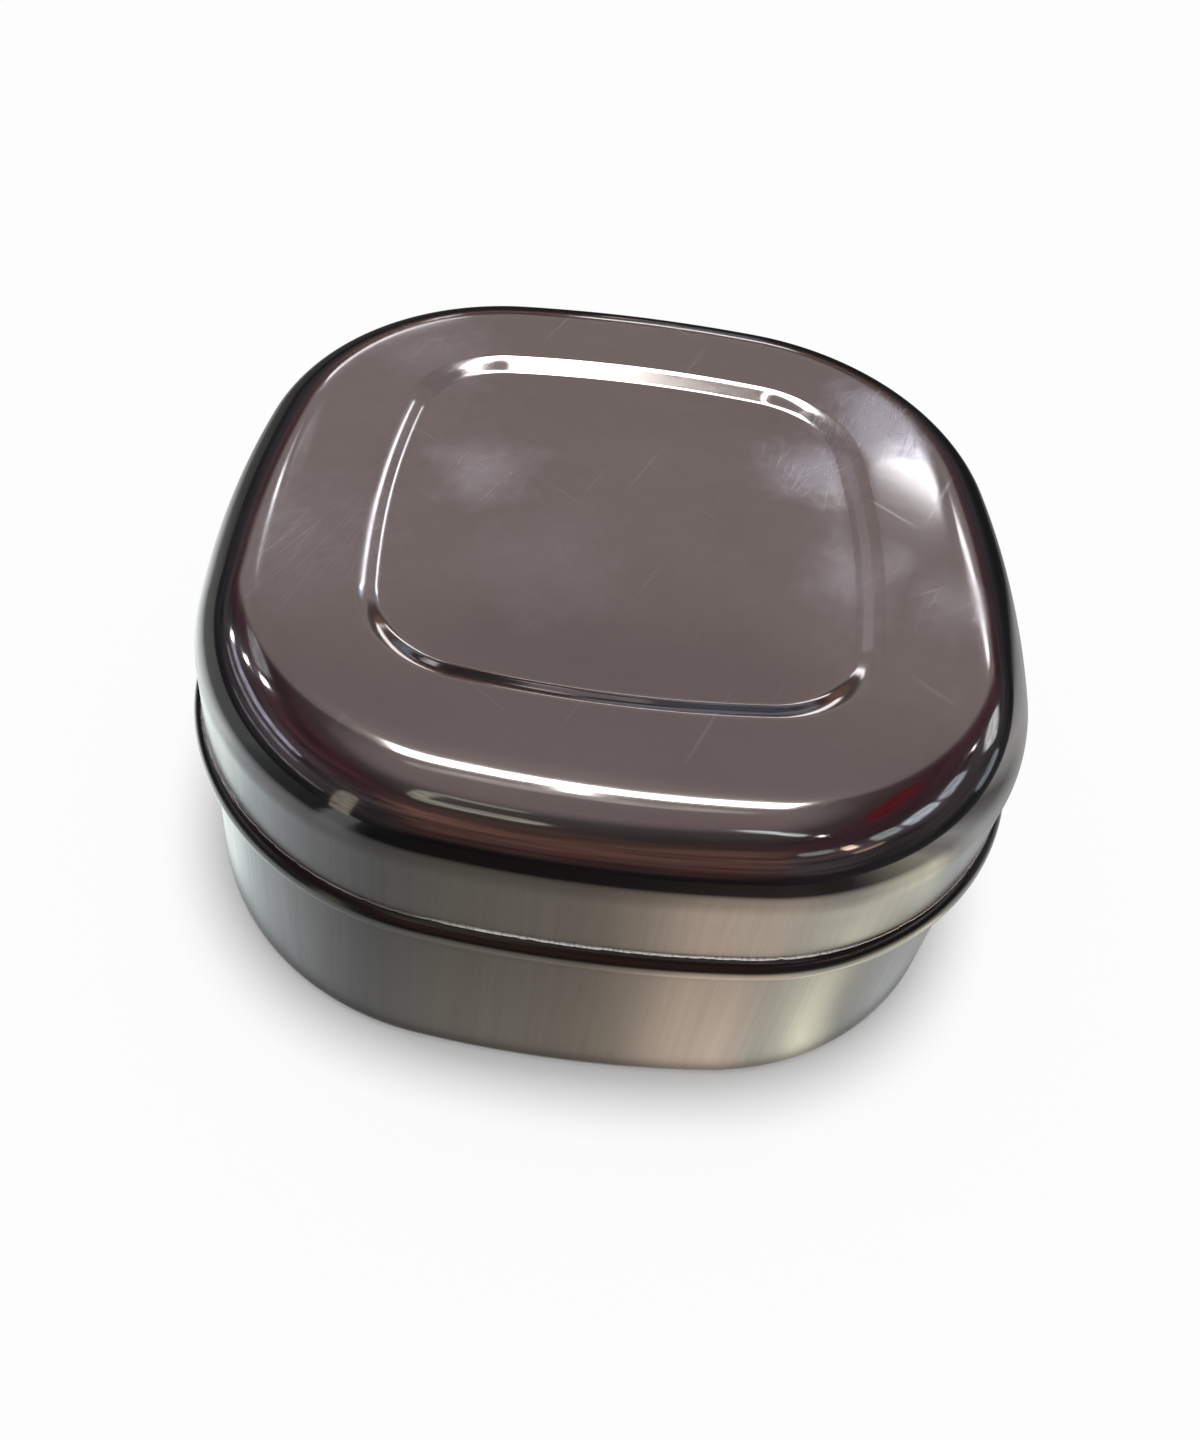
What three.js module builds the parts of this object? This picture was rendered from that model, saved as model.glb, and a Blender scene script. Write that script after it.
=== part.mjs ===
// Square steel lunch box, drawn from sheet in two pieces. The base has a stop bead rolled into
// its wall, and above the bead a plain neck. The lid slips over that neck and its cut edge
// comes down on the bead. Millimetres, +Z up. The origin is on the surface that the box
// stands on, under its middle.
import * as THREE from 'three';

// Steel and fits
const sheet = 0.5;
const slipClearance = 0.4; // lid skirt to neck, all round
const seatGap = 0.3; // lid edge to the bead under it
const rimClearance = 0.5; // neck rim to where the lid's fillet begins

// Plan, a square with bowed sides and large corners, as the lid's skirt has it
const halfWidth = 65;
const bowRadius = 200;
const cornerRadius = 46.5;

// Heights
const seamHeight = 36.5; // floor to the lid's edge
const lidHeight = 22.5; // the lid's edge to its top

// Lid, with its middle pressed down inside a flat border
const lidFillet = 13;
const lidBorder = 24.5; // skirt to the panel's outline
const lidPanelCorner = 19;
const lidPanelDepth = 1.1;

// Base, with its middle pressed up so that it stands on a flat border
const baseFillet = 2;
const baseBorder = 15; // wall to the panel's outline
const basePanelCorner = 29;
const basePanelDepth = 0.8;
const beadRadius = 2.2;
const beadBlend = 1;

// The step round a pressed panel
const stepAngle = THREE.MathUtils.degToRad(23);
const stepRadius = 1;

// Facets along each side and corner of the plan, and how far one may stray from a bend
const sideFacets = 6;
const cornerFacets = 14;
const chordError = 0.05;

// Places that follow from the sizes above
const wallInset = sheet + slipClearance;
const rimHeight = seamHeight + lidHeight - lidFillet - rimClearance;
const beadReach = Math.sqrt((beadRadius + beadBlend) ** 2 - beadBlend ** 2);
const blendAngle = Math.atan2(beadReach, beadBlend);
const blendDip = Math.sqrt(beadBlend ** 2 - (beadBlend - slipClearance) ** 2);
const beadHeight = seamHeight - seatGap - beadReach + blendDip;

const quarterTurn = Math.PI / 2;

// The plan moved in by an inset, as stations: points on the outline, each with its outward
// normal. Four side arcs and four corner arcs, each tangent to the next, make the outline.
function planAt(inset, corner = cornerRadius - inset) {
  const half = halfWidth - inset;
  const bow = bowRadius - inset;
  const bowHalfAngle = Math.acos((bow - half) / (bow - corner) / Math.SQRT2) - Math.PI / 4;
  const cornerCentre = (bow - corner) * Math.sin(bowHalfAngle);
  const sideArc = {
    centre: new THREE.Vector2(half - bow, 0),
    radius: bow,
    from: -bowHalfAngle,
    to: bowHalfAngle,
    facets: sideFacets,
  };
  const cornerArc = {
    centre: new THREE.Vector2(cornerCentre, cornerCentre),
    radius: corner,
    from: bowHalfAngle,
    to: quarterTurn - bowHalfAngle,
    facets: cornerFacets,
  };
  const middle = new THREE.Vector2();
  const stations = [];
  for (let quarter = 0; quarter < 4; quarter += 1) {
    for (const { centre, radius, from, to, facets } of [sideArc, cornerArc]) {
      const arc = new THREE.ArcCurve(centre.x, centre.y, radius, from, to);
      for (const point of arc.getPoints(facets).slice(0, -1)) {
        const normal = point.clone().sub(centre).divideScalar(radius);
        point.rotateAround(middle, quarter * quarterTurn);
        normal.rotateAround(middle, quarter * quarterTurn);
        stations.push({ point, normal });
      }
    }
  }
  return stations;
}

const skirtPlan = planAt(0);
const wallPlan = planAt(wallInset);
const lidPanelPlan = planAt(lidBorder, lidPanelCorner);
const basePanelPlan = planAt(wallInset + baseBorder, basePanelCorner);

// Points along one bend of a section, from one angle to the other
function bend(centreX, centreY, radius, from, to) {
  const arc = new THREE.ArcCurve(centreX, centreY, radius, from, to, to < from);
  const facetLength = 2 * Math.sqrt(2 * radius * chordError);
  return arc.getPoints(Math.max(2, Math.ceil(arc.getLength() / facetLength)));
}

// Each section below is one face of the sheet. skin is 0 for the outer face and the sheet's
// thickness for the inner one, so a bend keeps its centre and only its radius changes.

// The step round a panel, from the panel out to the border. x is how far a point lies inside
// the panel's outline and y is its depth below the border's outer face.
function stepSection(panelDepth, skin) {
  const bendRun = 2 * stepRadius * Math.sin(stepAngle);
  const bendDepth = 2 * stepRadius * (1 - Math.cos(stepAngle));
  const rootX = bendRun + (panelDepth - bendDepth) / Math.tan(stepAngle);
  const rootY = panelDepth - stepRadius;
  return [
    ...bend(rootX, rootY, stepRadius + skin, quarterTurn, quarterTurn + stepAngle),
    ...bend(0, stepRadius, stepRadius - skin, stepAngle - quarterTurn, -quarterTurn),
  ];
}

// The fillet between a border and a wall. x is how far a point lies inside the wall's outer
// face and y is its depth below the border's outer face.
function filletSection(fillet, skin) {
  return bend(fillet, fillet, fillet - skin, -quarterTurn, -Math.PI);
}

// The bead, a half round rolled outward and blended into the wall below it and the neck above.
// x is how far a point lies inside the wall's outer face and y is its height.
function beadSection(skin) {
  const blendTop = beadHeight + beadReach;
  const blendFoot = beadHeight - beadReach;
  const roll = bend(0, beadHeight, beadRadius - skin, blendAngle - Math.PI, -blendAngle - Math.PI);
  return [
    ...bend(-beadBlend, blendFoot, beadBlend + skin, 0, blendAngle),
    ...roll.slice(1, -1),
    ...bend(-beadBlend, blendTop, beadBlend + skin, -blendAngle, 0),
  ];
}

// Lays a section's points on a plan, as rings at the heights that heightOf gives
function ringsOn(plan, section, heightOf) {
  return section.map(({ x, y }) => ({ plan, inset: x, height: heightOf(y) }));
}

// One face of the lid, from the panel to the cut edge, above that edge
function lidFace(skin) {
  const belowTop = (depth) => lidHeight - depth;
  return [
    ...ringsOn(lidPanelPlan, stepSection(lidPanelDepth, skin), belowTop),
    ...ringsOn(skirtPlan, filletSection(lidFillet, skin), belowTop),
    { plan: skirtPlan, inset: skin, height: 0 },
  ];
}

// One face of the base, from the panel up the wall and over the bead to the neck's rim
function baseFace(skin) {
  const aboveFloor = (height) => height;
  return [
    ...ringsOn(basePanelPlan, stepSection(basePanelDepth, skin), aboveFloor),
    ...ringsOn(wallPlan, filletSection(baseFillet, skin), aboveFloor),
    ...ringsOn(wallPlan, beadSection(skin), aboveFloor),
    { plan: wallPlan, inset: skin, height: rimHeight },
  ];
}

// Joins rings into a closed shell. A flat fan closes the first ring and the last.
function shell(rings) {
  const positions = [];
  const triangles = [];
  for (const { plan, inset, height } of rings) {
    for (const { point, normal } of plan) {
      positions.push(point.x - normal.x * inset, point.y - normal.y * inset, height);
    }
  }
  const firstCentre = positions.length / 3;
  const lastCentre = firstCentre + 1;
  positions.push(0, 0, rings[0].height);
  positions.push(0, 0, rings.at(-1).height);

  const count = skirtPlan.length;
  const lastRing = (rings.length - 1) * count;
  for (let station = 0; station < count; station += 1) {
    const next = (station + 1) % count;
    triangles.push(firstCentre, station, next);
    for (let ring = 0; ring < lastRing; ring += count) {
      const near = ring + station;
      const far = ring + next;
      triangles.push(near, near + count, far + count);
      triangles.push(near, far + count, far);
    }
    triangles.push(lastRing + station, lastCentre, lastRing + next);
  }
  const geometry = new THREE.BufferGeometry();
  geometry.setAttribute('position', new THREE.Float32BufferAttribute(positions, 3));
  geometry.setIndex(triangles);
  geometry.computeVertexNormals();
  return geometry;
}

function makeLid() {
  const polished = new THREE.MeshStandardMaterial({
    color: 0x8c8583,
    roughness: 0.18,
    metalness: 1,
  });
  const lid = new THREE.Mesh(shell([...lidFace(0), ...lidFace(sheet).reverse()]), polished);
  lid.name = 'lid';
  lid.position.z = seamHeight;
  return lid;
}

function makeBase() {
  const brushed = new THREE.MeshStandardMaterial({
    color: 0x949088,
    roughness: 0.34,
    metalness: 1,
  });
  const base = new THREE.Mesh(shell([...baseFace(sheet), ...baseFace(0).reverse()]), brushed);
  base.name = 'base';
  return base;
}

const group = new THREE.Group();
group.add(makeBase());
group.add(makeLid());

export default group;
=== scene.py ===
import math

import bmesh
import bpy
import numpy as np
from mathutils import Matrix, Vector, noise


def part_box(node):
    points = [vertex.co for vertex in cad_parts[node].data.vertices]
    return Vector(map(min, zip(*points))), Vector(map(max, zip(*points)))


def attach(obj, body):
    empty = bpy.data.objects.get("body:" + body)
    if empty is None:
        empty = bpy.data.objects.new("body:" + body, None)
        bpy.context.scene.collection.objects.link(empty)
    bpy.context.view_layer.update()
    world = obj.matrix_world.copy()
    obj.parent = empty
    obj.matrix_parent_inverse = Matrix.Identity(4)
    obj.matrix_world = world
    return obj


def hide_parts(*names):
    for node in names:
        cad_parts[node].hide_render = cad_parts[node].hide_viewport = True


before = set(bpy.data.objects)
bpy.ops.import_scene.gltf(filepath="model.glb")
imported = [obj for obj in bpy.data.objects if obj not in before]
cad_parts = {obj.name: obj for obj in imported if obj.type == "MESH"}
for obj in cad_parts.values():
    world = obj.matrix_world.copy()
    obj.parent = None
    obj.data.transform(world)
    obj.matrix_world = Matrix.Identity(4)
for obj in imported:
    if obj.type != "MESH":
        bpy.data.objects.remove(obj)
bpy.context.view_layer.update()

mm = 0.001
quarterTurn = math.pi / 2

# What both pieces share: the sheet they are drawn from and the outline of the box
sheetSteel = {
    "thickness": 0.5 * mm,
    "slipClearance": 0.4 * mm,  # lid skirt to neck
    "bowRadius": 200 * mm,
    "cornerRadius": 46.5 * mm,
    "sideFacets": 64,
    "cornerFacets": 96,
}

lidLow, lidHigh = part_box("lid")
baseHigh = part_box("base")[1]
halfWidth = lidHigh.x
seamHeight = lidLow.z
lidTop = lidHigh.z
print("frame loaded: lid and base found")


# The box seen from above, moved in by an inset: points on the outline and their outward normals
def outlineAt(inset, corner=None):
    half = halfWidth - inset
    bow = sheetSteel["bowRadius"] - inset
    corner = sheetSteel["cornerRadius"] - inset if corner is None else corner
    bowHalfAngle = math.acos((bow - half) / (bow - corner) / math.sqrt(2)) - quarterTurn / 2
    cornerCentre = (bow - corner) * math.sin(bowHalfAngle)
    cornerEnd = quarterTurn - bowHalfAngle
    arcs = [
        (half - bow, 0, bow, -bowHalfAngle, bowHalfAngle, sheetSteel["sideFacets"]),
        (cornerCentre, cornerCentre, corner, bowHalfAngle, cornerEnd, sheetSteel["cornerFacets"]),
    ]
    points = []
    normals = []
    for quarter in range(4):
        turn = quarter * quarterTurn
        for centreX, centreY, radius, start, end, facets in arcs:
            angles = np.linspace(start, end, facets, endpoint=False)
            x = centreX + radius * np.cos(angles)
            y = centreY + radius * np.sin(angles)
            points.append(np.column_stack([
                x * math.cos(turn) - y * math.sin(turn),
                x * math.sin(turn) + y * math.cos(turn),
            ]))
            normals.append(np.column_stack([np.cos(angles + turn), np.sin(angles + turn)]))
    return np.vstack(points), np.vstack(normals)


# One ring of the sheet. Brushed is 1 where the wall keeps its upright grain and 0 where it is
# polished, inner is 1 on the faces inside the box, cut is 1 on the sheet's trimmed edge, and
# the last value is 1 where shade is painted on, in the angle over the lid's lip and round the bead.
def ringOf(outline, inset, height, brushed=0.0, inner=0.0, cut=0.0, paintedShade=0.0):
    points, normals = outline
    plan = points - normals * inset
    placed = np.column_stack([plan, np.full(len(plan), height)])
    return {"points": placed, "brushed": brushed, "inner": inner, "cut": cut, "paintedShade": paintedShade}


# Rings that lead from one ring to the next, both ends left out
def ringsBetween(first, last, count):
    between = []
    for share in np.linspace(0, 1, count + 2)[1:-1]:
        between.append({
            key: first[key] * (1 - share) + last[key] * share for key in first
        })
    return between


# A panel as rings that shrink to its middle, from the middle out, where it swells by a crown
def panelRings(edge, count, crown):
    middle = np.array([0, 0, edge["points"][0][2]])
    rings = []
    for share in np.linspace(0, 1, count + 2)[1:-1]:
        swell = np.array([0, 0, crown * (1 - share ** 2)])
        rings.append({**edge, "points": middle + (edge["points"] - middle) * share + swell})
    return rings


def arcOf(centreX, centreY, radius, start, end, steps):
    angles = np.linspace(start, end, steps + 1)
    return list(zip(centreX + radius * np.cos(angles), centreY + radius * np.sin(angles)))


# One bend of a step from a first tilt to a last one, as (run, drop, tilt) from where it starts
def bendOf(radius, first, last, steps):
    tilts = np.linspace(first, last, steps + 1)
    run = radius * np.abs(np.sin(tilts) - math.sin(first))
    drop = radius * np.abs(np.cos(tilts) - math.cos(first))
    return list(zip(run, drop, tilts))


# A step pressed into a flat border, as points (inside the panel's outline, below the border)
# from the panel out. Next to the slope each bend eases off to a larger radius.
def stepSection(sizes, skin, steps):
    steepest = math.radians(sizes["stepAngle"])
    eased = steepest - math.radians(sizes["easeAngle"])
    bends = [
        bendOf(sizes["crestRadius"], 0, eased, steps),
        bendOf(sizes["crestEase"], eased, steepest, steps),
        bendOf(sizes["rootEase"], steepest, eased, steps),
        bendOf(sizes["rootRadius"], eased, 0, steps),
    ]
    slopeDrop = sizes["panelDepth"] - sum(bend[-1][1] for bend in bends)
    slopeRun = slopeDrop / math.tan(steepest)
    across = sizes["crestStart"]
    down = 0
    section = []
    for index, bend in enumerate(bends):
        if index == 2:
            across += slopeRun
            down += slopeDrop
        for run, drop, tilt in bend if index in (0, 2) else bend[1:]:
            section.append((
                across + run - skin * math.sin(tilt),
                down + drop + skin * math.cos(tilt),
            ))
        across += bend[-1][0]
        down += bend[-1][1]
    return section[::-1]


# A bend from flat to upright whose curve tightens slowly, as (inside the wall, below the top)
def easedFillet(run, drop, leadIn, leadOut, skin, steps):
    along = np.linspace(0, 1, 40 * steps + 1)
    curve = np.clip(np.minimum(along / leadIn, (1 - along) / leadOut), 0, 1)
    turned = np.concatenate([[0], np.cumsum((curve[1:] + curve[:-1]) / 2)])
    turned *= quarterTurn / turned[-1]
    middle = (turned[1:] + turned[:-1]) / 2
    across = np.concatenate([[0], np.cumsum(np.cos(middle))])
    down = np.concatenate([[0], np.cumsum(np.sin(middle))])
    across *= run / across[-1]
    down *= drop / down[-1]
    wanted = np.linspace(0, quarterTurn, steps + 1)
    picked = [int(np.argmin(np.abs(turned - angle))) for angle in wanted]
    section = []
    for index in picked:
        tilt = turned[index]
        section.append((
            run - across[index] + skin * math.sin(tilt),
            down[index] + skin * math.cos(tilt),
        ))
    return section


# Joins rings into one closed skin with a pole at each end
def sheetPiece(name, rings):
    count = len(rings[0]["points"])
    shell = bmesh.new()
    layers = {key: shell.verts.layers.float.new(key) for key in ("brushed", "inner", "cut", "paintedShade")}

    def vertexOf(point, ring):
        vertex = shell.verts.new(point)
        for key, layer in layers.items():
            vertex[layer] = ring[key]
        return vertex

    grid = [[vertexOf(point, ring) for point in ring["points"]] for ring in rings]
    poles = [vertexOf(ring["points"].mean(axis=0), ring) for ring in (rings[0], rings[-1])]
    for station in range(count):
        after = (station + 1) % count
        shell.faces.new((poles[0], grid[0][station], grid[0][after]))
        for near, far in zip(grid, grid[1:]):
            shell.faces.new((near[station], far[station], far[after], near[after]))
        shell.faces.new((poles[1], grid[-1][after], grid[-1][station]))
    for face in shell.faces:
        face.smooth = True
    mesh = bpy.data.meshes.new(name)
    shell.to_mesh(mesh)
    shell.free()
    piece = bpy.data.objects.new(name, mesh)
    bpy.context.scene.collection.objects.link(piece)
    return piece


# Drawn sheet is never quite even: pushes each ring in a little, never out past its true size
def unevenRings(rings, depth, spread):
    for ring in rings:
        for point in ring["points"]:
            swell = noise.noise(Vector(point) / spread)
            inward = depth * (swell - 1) / 2
            out = Vector((point[0], point[1], 0)).normalized()
            point[0] += out.x * inward
            point[1] += out.y * inward


# The trimmed edge keeps a slight burr: a lip that wanders in and up along the outline
def burredRings(rings, depth, spread):
    for ring in rings:
        if not ring["cut"]:
            continue
        for point in ring["points"]:
            place = Vector((point[0], point[1], 0)) / spread
            fray = max(0.0, noise.noise(place) + 0.7 * noise.noise(place * 3.1)) * ring["cut"]
            out = Vector((point[0], point[1], 0)).normalized()
            point[0] -= out.x * depth * fray
            point[1] -= out.y * depth * fray
            point[2] += depth * fray * 0.5


# Lid: a flat border with its middle pressed down, a large polished fillet and a short skirt
lidPiece = {
    "filletRun": 13.3 * mm,
    "filletDrop": 13 * mm,
    "filletLeadIn": 0.18,
    "filletLeadOut": 0.1,
    "border": 24.5 * mm,
    "panelCorner": 19 * mm,
    "panelDepth": 1.4 * mm,
    "panelCrown": 0.45 * mm,
    "crestStart": -0.5 * mm,
    "stepAngle": 23,
    "easeAngle": 6,  # the last degrees of each bend before the slope
    "crestRadius": 2.0 * mm,
    "crestEase": 16.0 * mm,
    "rootEase": 8.0 * mm,
    "rootRadius": 1.5 * mm,
    "lipHeight": 0.44 * mm,  # the lip that trimming left at the skirt's cut edge
    "lipReach": 0.22 * mm,
    "lipRound": 0.1 * mm,
    "lipSpread": 5 * mm,  # up the skirt from where it leans out to the lip
    "lipLean": 5,  # degrees that the lip's ledge falls outward
    "ledgeRings": (0.03, 0.08, 0.4, 0.72, 0.78),  # shares of the reach, from the skirt out
    "ledgeEnd": 0.8,  # where its rounded edge begins
    "edgeShadeReach": 0.6 * mm,  # how far the painted shade reaches up the skirt from the lip
    "edgeShadeStrength": (0.35, 0.5),  # the painted shade's strength just above the lip and down in the angle
    "grainEnds": 4.3 * mm,  # above the fillet's lower end
    "grainFade": 1.6 * mm,
    "bendSteps": 12,
    "innerBendSteps": 6,
    "panelRings": 24,
    "borderRings": 10,
    "skirtRings": 8,
    "wander": 0.05 * mm,  # how far the drawn sheet strays inward, and over what length
    "wanderSpread": 22 * mm,
    "burr": 0.16 * mm,  # how far the trimmed edge frays, and over what length
    "burrSpread": 1.4 * mm,
}


def lidRings(skin, inner):
    sizes = lidPiece
    skirt = outlineAt(0)
    panel = outlineAt(sizes["border"], sizes["panelCorner"])
    steps = sizes["innerBendSteps"] if inner else sizes["bendSteps"]
    above, angle = sizes["edgeShadeStrength"]
    rings = []
    for inset, depth in stepSection(sizes, skin, steps):
        rings.append(ringOf(panel, inset, lidTop - depth, 0, inner))
    disc = panelRings(rings[0], sizes["panelRings"], sizes["panelCrown"])
    filletDrop = sizes["filletDrop"]
    fillet = []
    lip = sizes["lipHeight"]
    lipRound = sizes["lipRound"]
    reach = 0 if inner else sizes["lipReach"]  # how far the lip stands out from the skirt
    fall = math.tan(math.radians(sizes["lipLean"]))
    fade = sizes["grainFade"]
    for inset, depth in easedFillet(
            sizes["filletRun"], filletDrop, sizes["filletLeadIn"], sizes["filletLeadOut"],
            skin, 3 * steps):
        standBack = reach * float(np.clip((depth - filletDrop) / sizes["lipSpread"] + 1, 0, 1))
        fillet.append(ringOf(skirt, inset + standBack, lidTop - depth, 0, inner))
    border = ringsBetween(rings[-1], fillet[0], sizes["borderRings"])
    edgeBend = []
    if inner:
        edgeBend.append(ringOf(skirt, skin, seamHeight + lip, 1, inner))
        edgeBend.append(ringOf(skirt, skin - lipRound, seamHeight + lipRound / 3, 0, inner, 1))
    else:
        # painted shade on the skirt just above the lip and in the angle under it
        edgeBend.append(ringOf(skirt, reach, seamHeight + lip + sizes["edgeShadeReach"], 1, inner))
        edgeBend.append(ringOf(skirt, reach, seamHeight + lip + lipRound, 1, inner, 0, above))
        edgeBend.append(ringOf(skirt, reach, seamHeight + lip + lipRound / 4, 0.5, inner, 0, angle))
        for share in sizes["ledgeRings"]:
            ledge = seamHeight + lip - reach * share * fall
            edgeBend.append(ringOf(skirt, reach * (1 - share), ledge, 0, inner, 1))
        shoulder = lip - lipRound - reach * sizes["ledgeEnd"] * fall
        for x, y in arcOf(lipRound, shoulder, lipRound, quarterTurn * 1.2, quarterTurn * 2, 3):
            edgeBend.append(ringOf(skirt, x, seamHeight + y, 0, inner, 1))
        for x, y in arcOf(lipRound, lipRound, lipRound, quarterTurn * 2, quarterTurn * 3, 3):
            edgeBend.append(ringOf(skirt, x, seamHeight + y, 0, inner, 1))
    straight = ringsBetween(fillet[-1], edgeBend[0], sizes["skirtRings"])
    grainTop = lidTop - filletDrop + sizes["grainEnds"]
    for ring in fillet + straight:
        height = ring["points"][0][2]
        ring["brushed"] = float(np.clip((grainTop - height) / fade + 0.5, 0, 1))
    return disc + rings + border + fillet + straight + edgeBend


def makeLid():
    rings = lidRings(0, 0.0) + lidRings(sheetSteel["thickness"], 1.0)[::-1]
    unevenRings(rings, lidPiece["wander"], lidPiece["wanderSpread"])
    burredRings(rings, lidPiece["burr"], lidPiece["burrSpread"])
    return sheetPiece("lid_shell", rings)


# Base: a straight wall over a small radius, a half round bead and the plain neck above it
basePiece = {
    "bottomRadius": 2 * mm,
    "border": 15 * mm,
    "panelCorner": 29 * mm,
    "panelDepth": 0.8 * mm,
    "panelCrown": 0.3 * mm,
    "crestStart": 0.0 * mm,
    "stepAngle": 23,
    "easeAngle": 6,
    "crestRadius": 1.2 * mm,
    "crestEase": 2.0 * mm,
    "rootEase": 2.0 * mm,
    "rootRadius": 1.2 * mm,
    "beadRadius": 2.2 * mm,
    "beadBlend": 1 * mm,
    "seatGap": 0.3 * mm,
    "edgeRound": 0.12 * mm,
    "beadGrain": 0.6,
    # painted shade in the groove over the bead and in a line under it, from and to these shares of
    # its height
    "grooveShade": 0.8,
    "grooveSpan": (0.32, 0.48),
    "undersideShade": 0.55,
    "undersideSpan": (0.06, 0.115),
    "neckShade": 0.3,  # what of that painted shade reaches the neck and the wall
    "bendSteps": 8,
    "innerBendSteps": 5,
    "panelRings": 10,
    "borderRings": 6,
    "wallRings": 10,
    "neckRings": 4,
    "wander": 0.05 * mm,
    "wanderSpread": 24 * mm,
}


def baseRings(skin, inner):
    sizes = basePiece
    wallInset = sheetSteel["thickness"] + sheetSteel["slipClearance"]
    wall = outlineAt(wallInset)
    panel = outlineAt(wallInset + sizes["border"], sizes["panelCorner"])
    steps = sizes["innerBendSteps"] if inner else sizes["bendSteps"]
    rings = []
    for inset, height in stepSection(sizes, skin, steps):
        rings.append(ringOf(panel, inset, height, 0, inner))
    disc = panelRings(rings[0], sizes["panelRings"], sizes["panelCrown"])
    radius = sizes["bottomRadius"]
    foot = []
    for x, y in arcOf(radius, radius, radius - skin, -quarterTurn, -math.pi, steps):
        foot.append(ringOf(wall, x, y, 1, inner))
    border = ringsBetween(rings[-1], foot[0], sizes["borderRings"])
    bead = sizes["beadRadius"]
    blend = sizes["beadBlend"]
    reach = math.sqrt((bead + blend) ** 2 - blend ** 2)
    angle = math.atan2(reach, blend)
    dip = math.sqrt(blend ** 2 - (blend - sheetSteel["slipClearance"]) ** 2)
    middle = seamHeight - sizes["seatGap"] - reach + dip
    profile = arcOf(-blend, middle - reach, blend + skin, 0, angle, steps)
    profile += arcOf(0, middle, bead - skin, angle - math.pi, -angle - math.pi, 3 * steps)[1:-1]
    profile += arcOf(-blend, middle + reach, blend + skin, -angle, 0, steps)
    roll = []
    for x, y in profile:
        # painted shade: dark in the groove under the lid's edge and in a thin line under the bead
        above = (y - middle) / reach
        groove = np.interp(above, sizes["grooveSpan"], (0, sizes["grooveShade"]))
        underside = np.interp(-above, sizes["undersideSpan"], (0, sizes["undersideShade"]))
        beadShade = float(max(groove, underside))
        roll.append(ringOf(wall, x, y, sizes["beadGrain"], inner, 0, beadShade))
    edge = sizes["edgeRound"]
    rim = []
    for x, y in arcOf(0, 0, edge, 0, quarterTurn, 3):
        inset = skin - edge + x if inner else edge - x
        rim.append(ringOf(wall, inset, baseHigh.z - edge + y, 0, inner, 1))
    lowerWall = ringsBetween(foot[-1], roll[0], sizes["wallRings"])
    neck = ringsBetween(roll[-1], rim[0], sizes["neckRings"])
    # wall and neck are grained to their ends, and the painted shade of the groove thins out on them
    for ring in lowerWall + neck:
        ring["brushed"] = 1.0
        ring["cut"] = 0.0
        ring["paintedShade"] *= sizes["neckShade"]
    return disc + rings + border + foot + lowerWall + roll + neck + rim


def makeBase():
    rings = baseRings(sheetSteel["thickness"], 1.0) + baseRings(0, 0.0)[::-1]
    unevenRings(rings, basePiece["wander"], basePiece["wanderSpread"])
    return sheetPiece("base_shell", rings)


lid = makeLid()
print("lid drawn:", len(lid.data.vertices), "points")
base = makeBase()
print("base drawn:", len(base.data.vertices), "points")


# Small helper for laying out shader nodes
class NodeBench:
    def __init__(self, tree):
        self.tree = tree

    def add(self, kind, inputs=None, **settings):
        node = self.tree.nodes.new(kind)
        for key, value in settings.items():
            setattr(node, key, value)
        for key, value in (inputs or {}).items():
            self.feed(node.inputs[key], value)
        return node

    def feed(self, socket, value):
        if isinstance(value, bpy.types.NodeSocket):
            self.tree.links.new(value, socket)
        else:
            socket.default_value = value

    def calc(self, kind, a, b=0.0, c=0.0):
        node = self.add("ShaderNodeMath", operation=kind)
        for socket, value in zip(node.inputs, (a, b, c)):
            self.feed(socket, value)
        return node.outputs[0]

    def ramp(self, value, low, high, start=0.0, end=1.0):
        node = self.add("ShaderNodeMapRange", {
            "Value": value, "From Min": low, "From Max": high, "To Min": start, "To Max": end})
        return node.outputs[0]

    def distance(self, place, middle):
        node = self.add("ShaderNodeVectorMath", {0: place, 1: middle}, operation="DISTANCE")
        return node.outputs["Value"]

    # Straight scratches that lie at one turn about the vertical and end here and there
    def scratchesAt(self, place, turn, fineness, shortness, bareness):
        lines = self.noiseAt(place, (fineness, shortness / 8, 0), turn, 1)
        lines = self.ramp(lines, 0.58, 0.7)
        ends = self.noiseAt(place, (fineness / 3, shortness, 0), turn, 1)
        return self.calc("MULTIPLY", lines, self.ramp(ends, bareness, bareness + 0.1))

    def colours(self, value, stops):
        node = self.add("ShaderNodeValToRGB", {"Fac": value})
        marks = node.color_ramp.elements
        while len(marks) < len(stops):
            marks.new(0.5)
        for mark, (position, colour) in zip(marks, stops):
            mark.position = position
            mark.color = colour
        return node.outputs["Color"]

    def noiseAt(self, vector, stretch, turn=0.0, detail=2.0, roughness=0.5):
        turned = self.add("ShaderNodeVectorRotate", {
            "Vector": vector, "Angle": math.radians(turn)}, rotation_type="Z_AXIS")
        placed = self.add("ShaderNodeMapping", {"Vector": turned.outputs[0], "Scale": stretch})
        node = self.add("ShaderNodeTexNoise", {
            "Vector": placed.outputs[0], "Scale": 1.0, "Detail": detail, "Roughness": roughness})
        return node.outputs["Fac"]

    def mix(self, factor, first, second):
        return self.add("ShaderNodeMix", {"Factor": factor, "A": first, "B": second}).outputs[0]

    def blend(self, factor, first, second):
        node = self.add("ShaderNodeMix", data_type="RGBA")
        self.feed(node.inputs["Factor"], factor)
        self.feed(node.inputs[6], first)
        self.feed(node.inputs[7], second)
        return node.outputs[2]


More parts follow.
